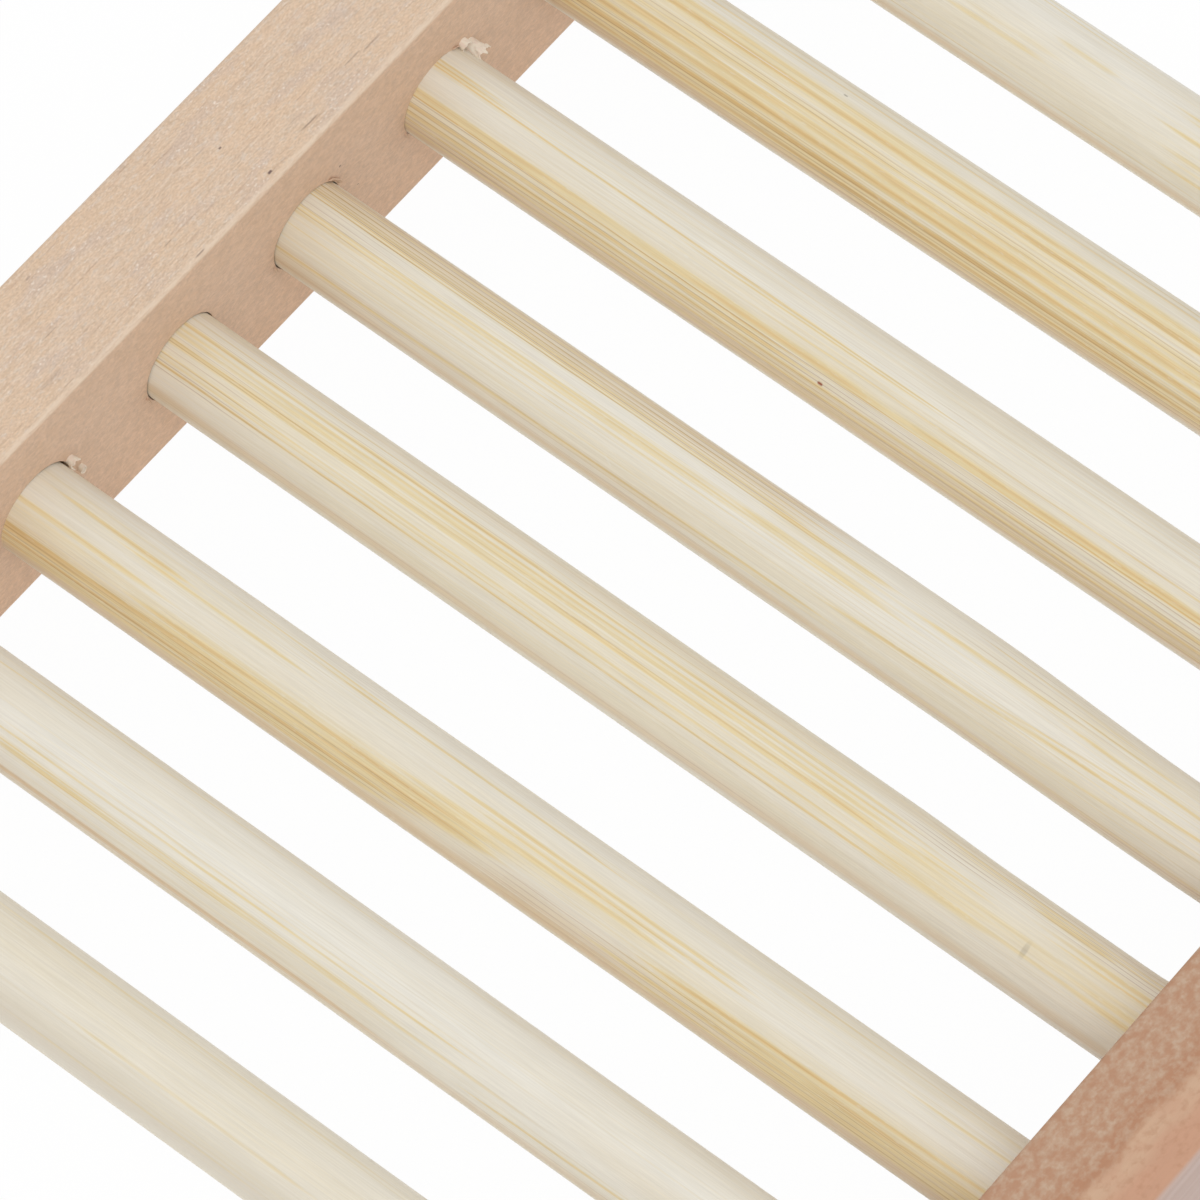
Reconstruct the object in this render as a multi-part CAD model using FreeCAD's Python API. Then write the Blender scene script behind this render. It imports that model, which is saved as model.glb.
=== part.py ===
import FreeCAD, Part
import math
import os

# Wooden soap dish of the ladder type. Two hardwood rails stand on edge and are joined by a row of round
# bamboo rods, glued into blind sockets in the rails' inner faces. The soap lies on the rods between the
# rails, and water drains through the gaps. Nothing on it moves.
# Millimetres, +Z up, X along the rails, Y along the rods, rods counted from the -X end. The origin is on
# the surface that the dish stands on, under the middle of the dish.

# Driving dimensions: the row of rods
ROD_DIAMETER = 6.0
ROD_PITCH = 12.0
CLEAR_SPAN = 71.6  # between the inner faces of the two rails
ROD_END_CHAMFER = 0.4
# How far each hole was drilled from its place in an even row, along X: one entry for each rod.
HOLE_DRIFT = (-0.2, -0.1, -0.6, 0.3, -0.2, -0.2, 0.2, 0.2)

# Driving dimensions: the slim end of a rod whose stick thins out towards the front rail
SLIM_LOSS = 0.3  # taken off the diameter
SLIM_START = 15.0  # from the middle of the rod towards the front
SLIM_RUN = 12.0  # the length over which the rod thins
SLIM_RODS = (5,)

# Driving dimensions: the sockets
SOCKET_DEPTH = 5.0
SOCKET_CLEARANCE = 0.1  # all round the rod, filled by glue
SPUR_DIAMETER = 1.2  # the dimple that the drill's centre point leaves in the socket's floor
SPUR_DEPTH = 0.7

# Driving dimensions: the rails
DRAIN_HEIGHT = 4.9  # from the surface up to the underside of the rods
LIP_HEIGHT = 4.9  # from the top of the rods up to the top of the rails
BACK_WALL = 2.8  # from a socket's floor to the rail's outer face
END_MARGIN = 12.0  # from an end rod's place in the even row to the end of the rail
ARRIS_RADIUS = 0.35  # long edges rounded by sanding
END_CHAMFER = 0.25  # edges of the sawn ends

# Worked out from the driving dimensions
ROD_COUNT = len(HOLE_DRIFT)
ROD_RADIUS = ROD_DIAMETER / 2
ROD_LENGTH = CLEAR_SPAN + 2 * SOCKET_DEPTH
ROD_AXIS_HEIGHT = DRAIN_HEIGHT + ROD_RADIUS
SOCKET_RADIUS = ROD_RADIUS + SOCKET_CLEARANCE
RAIL_LENGTH = ROD_PITCH * (ROD_COUNT - 1) + 2 * END_MARGIN
RAIL_WIDTH = SOCKET_DEPTH + BACK_WALL
RAIL_HEIGHT = DRAIN_HEIGHT + ROD_DIAMETER + LIP_HEIGHT

ORIGIN = FreeCAD.Vector(0, 0, 0)
ALONG_RODS = FreeCAD.Vector(0, 1, 0)
FULL_TURN = 360


def rod_place(number):
    """Where a rod's axis crosses the middle of the dish."""
    even_place = ROD_PITCH * (number - (ROD_COUNT + 1) / 2)
    return FreeCAD.Vector(even_place + HOLE_DRIFT[number - 1], 0, ROD_AXIS_HEIGHT)


def at(radius, along):
    """A point of a turned profile, at a radius from the Y axis."""
    return FreeCAD.Vector(radius, along, 0)


def straight_run(points):
    """Straight edges through the points, in order."""
    return [Part.LineSegment(first, last).toShape() for first, last in zip(points, points[1:])]


def turned(edges):
    """The solid that a closed profile sweeps when it turns about the Y axis."""
    profile = Part.Face(Part.Wire(edges))
    return profile.revolve(ORIGIN, ALONG_RODS, FULL_TURN)


def thinning_arcs(slim_radius):
    """Two tangent arcs that bring a rod's outline from its slim end up to its full radius."""
    full, slim = -SLIM_START, -SLIM_START - SLIM_RUN
    waist = (full + slim) / 2
    loss = ROD_RADIUS - slim_radius
    bend_radius = (SLIM_RUN ** 2 + loss ** 2) / (4 * loss)
    half_bend = math.asin(SLIM_RUN / (2 * bend_radius)) / 2
    run = bend_radius * math.sin(half_bend)
    dip = bend_radius * (1 - math.cos(half_bend))
    waist_point = at(slim_radius + loss / 2, waist)
    arcs = (
        (at(slim_radius, slim), at(slim_radius + dip, slim + run), waist_point),
        (waist_point, at(ROD_RADIUS - dip, full - run), at(ROD_RADIUS, full)),
    )
    return [Part.Arc(*points).toShape() for points in arcs]


def make_rod(number):
    """A bamboo rod with chamfered ends, long enough to reach both sockets' floors."""
    end = ROD_LENGTH / 2
    shoulder = end - ROD_END_CHAMFER
    front_radius = ROD_RADIUS
    side = straight_run([at(ROD_RADIUS, -shoulder), at(ROD_RADIUS, shoulder)])
    if number in SLIM_RODS:
        front_radius = ROD_RADIUS - SLIM_LOSS / 2
        side = straight_run([at(front_radius, -shoulder), at(front_radius, -SLIM_START - SLIM_RUN)])
        side += thinning_arcs(front_radius)
        side += straight_run([at(ROD_RADIUS, -SLIM_START), at(ROD_RADIUS, shoulder)])
    front = straight_run([at(0, -end), at(front_radius - ROD_END_CHAMFER, -end), at(front_radius, -shoulder)])
    rear = straight_run([at(ROD_RADIUS, shoulder), at(ROD_RADIUS - ROD_END_CHAMFER, end), at(0, end)])
    axis = straight_run([at(0, end), at(0, -end)])
    rod = turned(front + side + rear + axis)
    rod.translate(rod_place(number))
    return rod


def make_socket_cutter():
    """What one drilling takes out of the rear rail, drawn from mid-span to the socket's dimpled floor."""
    start = 0
    floor = CLEAR_SPAN / 2 + SOCKET_DEPTH
    return turned(straight_run([
        at(0, start),
        at(SOCKET_RADIUS, start),
        at(SOCKET_RADIUS, floor),
        at(SPUR_DIAMETER / 2, floor),
        at(0, floor + SPUR_DEPTH),
        at(0, start),
    ]))


def make_bar():
    """The rail before drilling: long edges rounded, the edges of both ends chamfered."""
    corner = FreeCAD.Vector(-RAIL_LENGTH / 2, CLEAR_SPAN / 2, 0)
    bar = Part.makeBox(RAIL_LENGTH, RAIL_WIDTH, RAIL_HEIGHT, corner)
    long_edges = [edge for edge in bar.Edges if math.isclose(edge.Length, RAIL_LENGTH)]
    bar = bar.makeFillet(ARRIS_RADIUS, long_edges)
    end_faces = [face for face in bar.Faces if math.isclose(abs(face.CenterOfMass.x), RAIL_LENGTH / 2)]
    end_edges = [edge for face in end_faces for edge in face.Edges]
    return bar.makeChamfer(END_CHAMFER, end_edges)


def make_rear_rail():
    """The rail on the +Y side, with its row of blind sockets."""
    cutters = []
    for number in range(1, ROD_COUNT + 1):
        cutter = make_socket_cutter()
        cutter.translate(rod_place(number))
        cutters.append(cutter)
    return make_bar().cut(cutters)


def write_node(name, shape):
    """Write one piece to its own file, as a single solid."""
    solid = shape.Solids[0]
    solid.exportStep(os.path.join("parts", name + ".step"))


def main():
    os.makedirs("parts", exist_ok=True)
    rear_rail = make_rear_rail()
    write_node("rear_rail", rear_rail)
    write_node("front_rail", rear_rail.mirror(ORIGIN, ALONG_RODS))
    for number in range(1, ROD_COUNT + 1):
        write_node(f"rod_{number}", make_rod(number))


main()
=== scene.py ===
import math
from collections import namedtuple

import bmesh
import bpy
from mathutils import Matrix, Vector


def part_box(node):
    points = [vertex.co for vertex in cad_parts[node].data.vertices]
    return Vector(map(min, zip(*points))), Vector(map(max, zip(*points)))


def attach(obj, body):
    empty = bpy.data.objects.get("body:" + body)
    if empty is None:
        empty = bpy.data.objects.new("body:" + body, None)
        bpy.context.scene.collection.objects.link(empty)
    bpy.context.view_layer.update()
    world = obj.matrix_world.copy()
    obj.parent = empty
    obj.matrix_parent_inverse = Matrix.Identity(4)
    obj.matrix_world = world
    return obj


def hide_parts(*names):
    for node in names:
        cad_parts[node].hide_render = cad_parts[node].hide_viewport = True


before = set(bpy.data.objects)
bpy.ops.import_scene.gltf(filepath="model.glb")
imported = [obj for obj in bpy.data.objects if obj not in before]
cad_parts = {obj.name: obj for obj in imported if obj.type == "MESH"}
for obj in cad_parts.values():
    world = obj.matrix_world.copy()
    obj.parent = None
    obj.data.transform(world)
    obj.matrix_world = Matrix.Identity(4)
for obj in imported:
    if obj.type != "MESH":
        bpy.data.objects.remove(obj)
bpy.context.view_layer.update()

# Wooden soap dish of the ladder type: a rear and a front rail of pinkish hardwood, joined by a row of
# bamboo rods. Metres, +Z up, X along the rails, Y along the rods, rods counted from the -X end.

MM = 0.001
QUARTER_TURN = math.pi / 2
WHITE = (1.0, 1.0, 1.0, 1.0)
ROD_NUMBERS = range(1, 9)
SMOOTH_ANGLE = math.radians(35)
HAIRSBREADTH = 0.01 * MM  # two places closer than this are one


def tone(red, green, blue):
    """A colour as a painter's chart gives it, from 0 to 255, as the linear colour that a shader takes."""
    channels = []
    for value in (red, green, blue):
        share = value / 255
        channels.append(share / 12.92 if share <= 0.04045 else ((share + 0.055) / 1.055) ** 2.4)
    return (*channels, 1.0)


# Modelling by hand

def put_down():
    """Leave nothing selected."""
    bpy.ops.object.select_all(action="DESELECT")


def take_up(piece):
    """Select one piece and work on it."""
    put_down()
    piece.select_set(True)
    bpy.context.view_layer.objects.active = piece


def name_piece(name):
    """Name the piece that was just added, and put its place into its mesh."""
    piece = bpy.context.object
    piece.name = name
    piece.data.name = name
    bpy.ops.object.transform_apply(location=True, rotation=True, scale=True)
    return piece


def pick_edges(piece, wanted):
    """In edit mode, select the edges whose two ends pass the test."""
    bpy.ops.mesh.select_mode(type="EDGE")
    bpy.ops.mesh.select_all(action="DESELECT")
    shape = bmesh.from_edit_mesh(piece.data)
    for edge in shape.edges:
        if wanted(edge.verts[0].co, edge.verts[1].co):
            edge.select_set(True)
    bmesh.update_edit_mesh(piece.data)


def pick_faces(piece, wanted):
    """In edit mode, select the faces whose middle and normal pass the test."""
    bpy.ops.mesh.select_mode(type="FACE")
    bpy.ops.mesh.select_all(action="DESELECT")
    shape = bmesh.from_edit_mesh(piece.data)
    for face in shape.faces:
        if wanted(face.calc_center_median(), face.normal):
            face.select_set(True)
    bmesh.update_edit_mesh(piece.data)


def weigh(piece, name, weight_at):
    """A vertex group whose weight follows from each point's place."""
    group = piece.vertex_groups.new(name=name)
    for vertex in piece.data.vertices:
        weight = weight_at(vertex.co)
        if weight > 0:
            group.add([vertex.index], weight, "REPLACE")
    return group.name


def displace(piece, depth, direction="NORMAL", group="", pattern=None, gauge=None):
    """Move the surface by up to depth, evenly or by a pattern that is measured on a gauge."""
    take_up(piece)
    bpy.ops.object.modifier_add(type="DISPLACE")
    shift = piece.modifiers[-1]
    shift.direction = direction
    shift.strength = depth
    shift.vertex_group = group
    shift.mid_level = 0.0
    if pattern:
        shift.mid_level = 0.5
        shift.texture = pattern
        shift.texture_coords = "OBJECT"
        shift.texture_coords_object = gauge
    bpy.ops.object.modifier_apply(modifier=shift.name)


def ripple(piece, patch, depth, group="", direction="NORMAL", start=(0, 0, 0), octaves=1):
    """Make a surface uneven by depth overall, in soft patches of the given size along X, Y and Z."""
    put_down()
    bpy.ops.object.empty_add(type="PLAIN_AXES", location=start)
    gauge = bpy.context.object
    gauge.scale = patch
    bpy.context.view_layer.update()
    pattern = bpy.data.textures.new("unevenness", type="CLOUDS")
    pattern.noise_scale = 1.0
    pattern.noise_depth = octaves
    displace(piece, depth, direction, group, pattern, gauge)
    bpy.data.objects.remove(gauge)
    bpy.data.textures.remove(pattern)


def soften(piece):
    """Smooth shading over the rounds, with crisp flats."""
    take_up(piece)
    bpy.ops.object.shade_smooth_by_angle(angle=SMOOTH_ANGLE)


# Finishes

class Finish:
    """A material under way, with short ways to add to its nodes."""

    def __init__(self, name):
        self.material = bpy.data.materials.new(name)
        self.material.use_nodes = True
        self.tree = self.material.node_tree
        self.shader = self.tree.nodes["Principled BSDF"]

    def add(self, kind, inputs=None, **settings):
        node = self.tree.nodes.new(kind)
        for key, value in settings.items():
            setattr(node, key, value)
        for key, value in (inputs or {}).items():
            self.feed(node.inputs[key], value)
        return node

    def feed(self, socket, value):
        if isinstance(value, bpy.types.NodeSocket):
            self.tree.links.new(value, socket)
        else:
            socket.default_value = value

    def place(self, centre=(0, 0, 0), turn=0.0):
        """Where on the piece, in millimetres from a centre, turned about the Y axis."""
        spot = self.add("ShaderNodeTexCoord").outputs["Object"]
        inputs = {"Vector": spot, "Location": centre, "Rotation": (0, turn, 0), "Scale": (MM, MM, MM)}
        return self.add("ShaderNodeMapping", inputs, vector_type="TEXTURE").outputs[0]

    def split(self, vector):
        return self.add("ShaderNodeSeparateXYZ", {0: vector}).outputs

    def maths(self, operation, first, second=0.0, third=0.0, clamp=False):
        inputs = {0: first, 1: second, 2: third}
        return self.add("ShaderNodeMath", inputs, operation=operation, use_clamp=clamp).outputs[0]

    def fade(self, value, low, high, at_low=0.0, at_high=1.0):
        """A smooth change from at_low to at_high as the value goes from low to high."""
        inputs = {"Value": value, "From Min": low, "From Max": high, "To Min": at_low, "To Max": at_high}
        return self.add("ShaderNodeMapRange", inputs, interpolation_type="SMOOTHSTEP").outputs[0]

    def grain(self, vector, density, start=(0, 0, 0), detail=2.0, distortion=0.0, roughness=0.5):
        """Soft noise with so many patches to the millimetre along X, Y and Z."""
        spread = {"Vector": vector, "Location": start, "Scale": density}
        inputs = {
            "Vector": self.add("ShaderNodeMapping", spread).outputs[0],
            "Scale": 1.0,
            "Detail": detail,
            "Roughness": roughness,
            "Distortion": distortion,
        }
        return self.add("ShaderNodeTexNoise", inputs).outputs[0]

    def mix(self, share, first, second, blend="MIX"):
        inputs = {0: share, 6: first, 7: second}
        return self.add("ShaderNodeMix", inputs, data_type="RGBA", blend_type=blend).outputs[2]

    def relief(self, height, depth, strength=0.5):
        inputs = {"Height": height, "Distance": depth, "Strength": strength}
        return self.add("ShaderNodeBump", inputs).outputs[0]

    def finish(self, colour, roughness, normal, gloss):
        self.feed(self.shader.inputs["Base Color"], colour)
        self.feed(self.shader.inputs["Roughness"], roughness)
        self.feed(self.shader.inputs["Normal"], normal)
        self.shader.inputs["Specular IOR Level"].default_value = gloss
        return self.material


# Bamboo rods

ROD_SIDES = 96
ROD_CUTS = 180
ROD_END_CHAMFER = 0.4 * MM
CHAMFER_STEPS = 2
ROD_WAVE = 0.05 * MM
ROD_PATCH = (5 * MM, 16 * MM, 5 * MM)
# About Y, from straight up to the side of a rod on which its marks are counted
FACE_TURN = math.radians(-24.3)

# The slim stretch of a rod near the front rail: where along Y it starts to thin and where it has thinned,
# where it starts to fill out again and where it is full, how much its radius loses, and how far the stretch
# leans away from +X. Millimetres.
Slim = namedtuple("Slim", "start thin back full loss lean")
SLIM_RODS = {
    4: Slim(-16, -23, -33.0, -36.0, 0.06, 0.09),
    5: Slim(-12, -28, -30.0, -35.8, 0.14, 0.28),
}

# How far some rods are turned about Z in their sockets, in degrees
SKEW = {3: 0.15, 7: 0.20}

# A fibre line on a rod: its place across the rod at both ends (0 at the +X edge, 1 at the -X edge), where
# it starts and ends along Y in millimetres, half its width in millimetres, and how strong it is.
Line = namedtuple("Line", "across end_across start end width depth")

# What is peculiar to each rod: its diameter in millimetres, how chalky, how yellow and how finely lined it
# is all over, its fibre lines, its denser sides given as wide lines, its small marks with their colours
# (among them painted highlights, as thin white glints, and a painted shade band on rod 1), and its brown
# hairlines.
Stick = namedtuple("Stick", "diameter chalk yellow hairs lines sides marks browns", defaults=((),))

# A line that runs into a rail starts or ends well inside it.
REAR = 50
FRONT = -50

IVORY = tone(227, 219, 202)
CHALK = tone(231, 226, 214)
STRAW = tone(225, 211, 177)
YELLOW = tone(227, 209, 165)
OCHRE = tone(221, 191, 138)
AMBER = tone(210, 176, 118)
DENSE = tone(219, 195, 160)
FIBRE_BROWN = tone(156, 114, 78)
GREY_MARK = tone(150, 140, 120)
RED_SPECK = tone(150, 80, 50)
# painted shade: a grey for the lower side of rod 1, standing in for the shade that the other rods get from
# their neighbours
PAINTED_SHADE_GREY = tone(202, 194, 180)

HAIR_WIDTH = 0.024


def hairlines(places, start, end, depth, lean=0.0):
    """Thin brown lines at the given places across a rod, side by side."""
    return tuple(Line(place, place + lean, start, end, HAIR_WIDTH, depth) for place in places)


STICKS = {
    1: Stick(5.97, 0.3, 0.25, 0.3, (
        Line(0.55, 0.57, 15, -9, 0.10, 0.45),
        Line(0.84, 0.84, 19, -6, 0.06, 0.50),
        Line(0.80, 0.79, 12, -6, 0.10, 0.20),
        Line(0.07, 0.07, 22, -12, 0.10, 0.25),
    ), (
        Line(0.86, 0.86, REAR, FRONT, 0.5, 0.20),
    ), (
        # painted shade: a wide grey band darkens rod 1's lower side
        (Line(0.88, 0.88, REAR, FRONT, 1.6, 0.50), PAINTED_SHADE_GREY),
    )),
    2: Stick(5.87, 1.0, 0.10, 0.4, (
        Line(0.54, 0.52, 30, -16, 0.06, 0.35),
        Line(0.61, 0.58, 32, -10, 0.06, 0.58),
        Line(0.70, 0.70, 32, -4, 0.05, 0.45),
        Line(0.74, 0.72, 32, -15, 0.09, 0.52),
        Line(0.76, 0.75, 30, 6, 0.04, 0.60),
        Line(0.86, 0.83, -5, -24, 0.08, 0.55),
        Line(0.12, 0.10, 33, 20, 0.06, 0.35),
        Line(0.05, 0.05, 33, -24, 0.06, 0.30),
    ), (
        Line(0.93, 0.93, REAR, -4, 0.18, 0.9),
        Line(0.96, 0.96, REAR, FRONT, 0.4, 0.50),
    ), (), hairlines((0.92, 0.95), REAR, FRONT, 0.25)),
    3: Stick(5.88, 0.5, 0.30, 0.6, (
        Line(0.24, 0.25, 36, 23, 0.11, 0.66),
        Line(0.30, 0.31, 31, 13, 0.09, 0.66),
        Line(0.10, 0.12, 25, 8, 0.06, 0.53),
        Line(0.15, 0.17, 18, -10, 0.06, 0.70),
        Line(0.52, 0.50, REAR, 22, 0.13, 0.66),
        Line(0.67, 0.61, 29, -3, 0.12, 0.84),
        Line(0.83, 0.70, REAR, -3, 0.26, 0.80),
        Line(0.80, 0.73, REAR, 14, 0.06, 0.75),
        Line(0.90, 0.80, REAR, 3, 0.12, 0.88),
        Line(0.94, 0.87, REAR, 5, 0.10, 0.70),
        Line(0.36, 0.35, 8, -20, 0.10, 0.75),
        Line(0.43, 0.43, 5, -20, 0.06, 0.53),
        Line(0.53, 0.50, 9, -15, 0.13, 0.66),
        Line(0.70, 0.57, -8, FRONT, 0.10, 0.88),
        Line(0.79, 0.72, -13, FRONT, 0.09, 0.62),
        Line(0.87, 0.83, -16, FRONT, 0.11, 0.53),
        Line(0.27, 0.23, -24, FRONT, 0.09, 0.40),
        Line(0.08, 0.11, -14, FRONT, 0.09, 0.35),
        Line(0.76, 0.69, -6, FRONT, 0.10, 0.60),
        Line(0.83, 0.78, -4, FRONT, 0.12, 0.60),
        Line(0.90, 0.87, -6, FRONT, 0.10, 0.70),
        Line(0.63, 0.60, REAR, FRONT, 0.35, 0.10),
    ), (
        Line(0.82, 0.74, REAR, 0, 0.55, 0.55),
        Line(0.85, 0.80, 4, FRONT, 0.7, 0.45),
        Line(0.95, 0.95, REAR, FRONT, 0.6, 0.95),
    ), (), hairlines((0.79, 0.83, 0.865, 0.90, 0.93), REAR, 1, 0.40, -0.09)
        + hairlines((0.76, 0.81, 0.86, 0.90, 0.94), 4, FRONT, 0.40, -0.03)),
    4: Stick(5.85, 0.6, 0.38, 0.6, (
        Line(0.12, 0.12, REAR, -17, 0.07, 0.29),
        Line(0.21, 0.20, REAR, -20, 0.10, 0.74),
        Line(0.27, 0.26, REAR, -22, 0.07, 0.42),
        Line(0.33, 0.32, REAR, -20, 0.12, 0.36),
        Line(0.40, 0.41, REAR, -21, 0.05, 0.57),
        Line(0.43, 0.42, REAR, -24, 0.12, 0.60),
        Line(0.56, 0.57, REAR, -23, 0.06, 0.58),
        Line(0.61, 0.61, REAR, 2, 0.03, 0.33),
        Line(0.67, 0.66, REAR, -22, 0.06, 0.74),
        Line(0.53, 0.53, -15, -26, 0.14, 0.22),
        Line(0.63, 0.63, -15, -26, 0.14, 0.22),
        Line(0.31, 0.31, -17, -25, 0.06, 0.33),
        Line(0.36, 0.36, -17, -25, 0.06, 0.33),
        Line(0.08, 0.09, -14, FRONT, 0.06, 0.49),
        Line(0.12, 0.13, -16, FRONT, 0.05, 0.49),
        Line(0.16, 0.16, -25, -32, 0.12, 0.57),
        Line(0.27, 0.28, -24, FRONT, 0.12, 0.66),
        Line(0.33, 0.34, -25, FRONT, 0.06, 0.66),
        Line(0.53, 0.54, -28, FRONT, 0.15, 0.34),
        Line(0.63, 0.63, -29, FRONT, 0.15, 0.41),
        Line(0.33, 0.33, REAR, -22, 0.81, 0.07),
        Line(0.22, 0.22, -14, FRONT, 0.92, 0.10),
        Line(0.45, 0.47, -14, FRONT, 0.11, 0.30),
        Line(0.60, 0.62, -14, FRONT, 0.09, 0.38),
        Line(0.51, 0.53, -20, FRONT, 0.13, 0.16),
    ), (
        Line(0.06, 0.06, REAR, FRONT, 0.4, 0.20),
        Line(0.93, 0.93, REAR, FRONT, 0.40, 0.60),
    ), (
        (Line(0.555, 0.555, -26.65, -27.15, 0.42, 0.35), GREY_MARK),
    ), hairlines((0.06, 0.12, 0.175, 0.40, 0.67, 0.91, 0.95), REAR, -15, 0.26)
        + hairlines((0.36, 0.43, 0.50, 0.57, 0.64, 0.71), REAR, 25, 0.45)
        + hairlines((0.045, 0.075, 0.105, 0.135, 0.17, 0.21), -13, FRONT, 0.46)),
    5: Stick(5.9, 0.7, 0.30, 1.0, (
        Line(0.05, 0.05, REAR, -4, 0.06, 0.62),
        Line(0.10, 0.10, REAR, -6, 0.04, 0.78),
        Line(0.14, 0.14, REAR, -5, 0.04, 0.62),
        Line(0.17, 0.17, REAR, -4, 0.05, 0.70),
        Line(0.20, 0.20, REAR, -6, 0.03, 0.62),
        Line(0.235, 0.22, REAR, -6, 0.05, 0.66),
        Line(0.39, 0.37, REAR, -4, 0.07, 0.35),
        Line(0.425, 0.41, REAR, -14, 0.06, 0.35),
        Line(0.465, 0.44, REAR, -9, 0.07, 0.38),
        Line(0.53, 0.50, REAR, 0, 0.07, 0.26),
        Line(0.60, 0.58, REAR, 10, 0.03, 0.43),
        Line(0.72, 0.71, REAR, 4, 0.05, 0.27),
        Line(0.86, 0.81, REAR, -8, 0.07, 0.62),
        Line(0.21, 0.21, 4, -9, 0.16, 0.47),
        Line(0.38, 0.37, 5, -10, 0.15, 0.39),
        Line(0.27, 0.25, -7, -23, 0.10, 0.55),
        Line(0.10, 0.12, -11, -27, 0.07, 0.52),
        Line(0.20, 0.20, -19, -29, 0.09, 0.49),
        Line(0.34, 0.37, -18, -34, 0.10, 0.55),
        Line(0.69, 0.50, -1, -38, 0.09, 0.58),
        Line(0.60, 0.45, -13, -29, 0.06, 0.35),
        Line(0.82, 0.67, -12, -36, 0.09, 0.38),
        Line(0.93, 0.92, -6, FRONT, 0.07, 0.29),
        Line(0.43, 0.41, REAR, 2, 0.46, 0.05),
    ), (
        Line(0.12, 0.12, REAR, -4, 0.5, 0.55),
        Line(0.03, 0.03, REAR, -6, 0.35, 0.75),
        Line(0.86, 0.84, REAR, 0, 0.35, 0.40),
        Line(0.95, 0.95, REAR, FRONT, 0.4, 0.75),
    ), (
        # painted highlight: a thin chalk-white glint
        (Line(0.625, 0.61, 30, 12, 0.03, 0.6), CHALK),
        (Line(0.70, 0.78, 11.8, 10.9, 0.06, 0.5), CHALK),
    ), hairlines((0.035, 0.07, 0.105, 0.145, 0.19, 0.235), REAR, -5, 0.62, -0.01)
        + hairlines((0.88, 0.93, 0.955), REAR, -2, 0.22, -0.02)
        + hairlines((0.27, 0.32, 0.37, 0.43), REAR, 25, 0.40)
        + hairlines((0.06, 0.10, 0.14, 0.20, 0.25), -9, -28, 0.32)),
    6: Stick(6.0, 0.8, 0.30, 1.0, (
        Line(0.05, 0.05, REAR, FRONT, 0.04, 0.25),
        Line(0.14, 0.15, 34, FRONT, 0.05, 0.22),
        Line(0.20, 0.21, 28, FRONT, 0.04, 0.22),
        Line(0.24, 0.25, REAR, 28, 0.06, 0.65),
        Line(0.28, 0.29, REAR, 28, 0.05, 0.65),
        Line(0.30, 0.37, REAR, -6, 0.05, 0.75),
        Line(0.38, 0.39, 20, -4, 0.04, 0.50),
        Line(0.45, 0.45, 18, -10, 0.08, 0.20),
        Line(0.61, 0.65, REAR, -2, 0.15, 0.72),
        Line(0.66, 0.71, REAR, 4, 0.03, 1.00),
        Line(0.52, 0.45, 14, FRONT, 0.05, 0.42),
        Line(0.64, 0.57, 3, FRONT, 0.15, 0.68),
        Line(0.69, 0.62, 8, FRONT, 0.04, 1.10),
        Line(0.77, 0.76, REAR, 4, 0.11, 0.75),
        Line(0.84, 0.79, REAR, FRONT, 0.10, 0.75),
        Line(0.895, 0.88, REAR, FRONT, 0.07, 0.75),
        Line(0.95, 0.94, REAR, FRONT, 0.07, 0.70),
        Line(0.63, 0.62, REAR, FRONT, 0.30, 0.12),
    ), (
        Line(0.90, 0.89, REAR, FRONT, 0.70, 0.65),
        Line(0.965, 0.965, REAR, FRONT, 0.40, 1.0),
    ), (
        (Line(0.785, 0.785, 5.40, 4.90, 0.09, 1.0), RED_SPECK),
        (Line(0.49, 0.49, 16.3, 15.9, 0.06, 0.5), CHALK),
    ), hairlines((0.70, 0.745, 0.785, 0.825, 0.865, 0.905, 0.945), REAR, FRONT, 0.52, -0.01)
        + hairlines((0.04, 0.08, 0.13, 0.17, 0.21, 0.26), 34, FRONT, 0.07, 0.01)),
    7: Stick(5.97, 0.8, 0.20, 0.8, (
        Line(0.05, 0.05, REAR, FRONT, 0.04, 0.40),
        Line(0.10, 0.10, REAR, FRONT, 0.04, 0.75),
        Line(0.25, 0.25, REAR, FRONT, 0.12, 0.60),
        Line(0.345, 0.345, REAR, FRONT, 0.13, 0.95),
        Line(0.51, 0.51, REAR, FRONT, 0.06, 0.35),
        Line(0.605, 0.60, REAR, FRONT, 0.20, 0.95),
        Line(0.72, 0.725, REAR, FRONT, 0.15, 1.10),
        Line(0.83, 0.825, REAR, FRONT, 0.14, 1.15),
        Line(0.905, 0.90, REAR, FRONT, 0.15, 1.40),
        Line(0.40, 0.40, REAR, FRONT, 1.00, 0.10),
    ), (
        Line(0.89, 0.89, REAR, FRONT, 0.40, 1.0),
        Line(0.45, 0.45, REAR, FRONT, 1.6, 0.06),
        Line(0.96, 0.96, REAR, FRONT, 0.5, 1.0),
    ), (
        # painted highlights: two thin chalk-white glints
        (Line(0.34, 0.34, 26, 17, 0.03, 0.7), CHALK),
        (Line(0.565, 0.565, 25, 16, 0.03, 0.7), CHALK),
        (Line(0.165, 0.165, 15.9, 15.5, 0.05, 0.8), GREY_MARK),
    ), hairlines((0.05, 0.09, 0.46, 0.50, 0.775, 0.80), REAR, FRONT, 0.34)
        + hairlines((0.84, 0.87, 0.90, 0.93, 0.96), REAR, FRONT, 0.55)),
    8: Stick(5.97, 0.8, 0.25, 0.4, (
        Line(0.05, 0.10, 20, 0, 0.04, 0.50),
        Line(0.02, 0.07, 16, -2, 0.04, 0.50),
        Line(0.33, 0.32, 9.5, 3, 0.14, 0.42),
        Line(0.52, 0.50, 16, 6, 0.14, 0.35),
        Line(0.61, 0.60, 17, 7, 0.14, 0.35),
        Line(0.24, 0.25, 1.8, -12, 0.12, 0.50),
        Line(0.29, 0.30, 0.5, -12, 0.06, 0.50),
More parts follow.
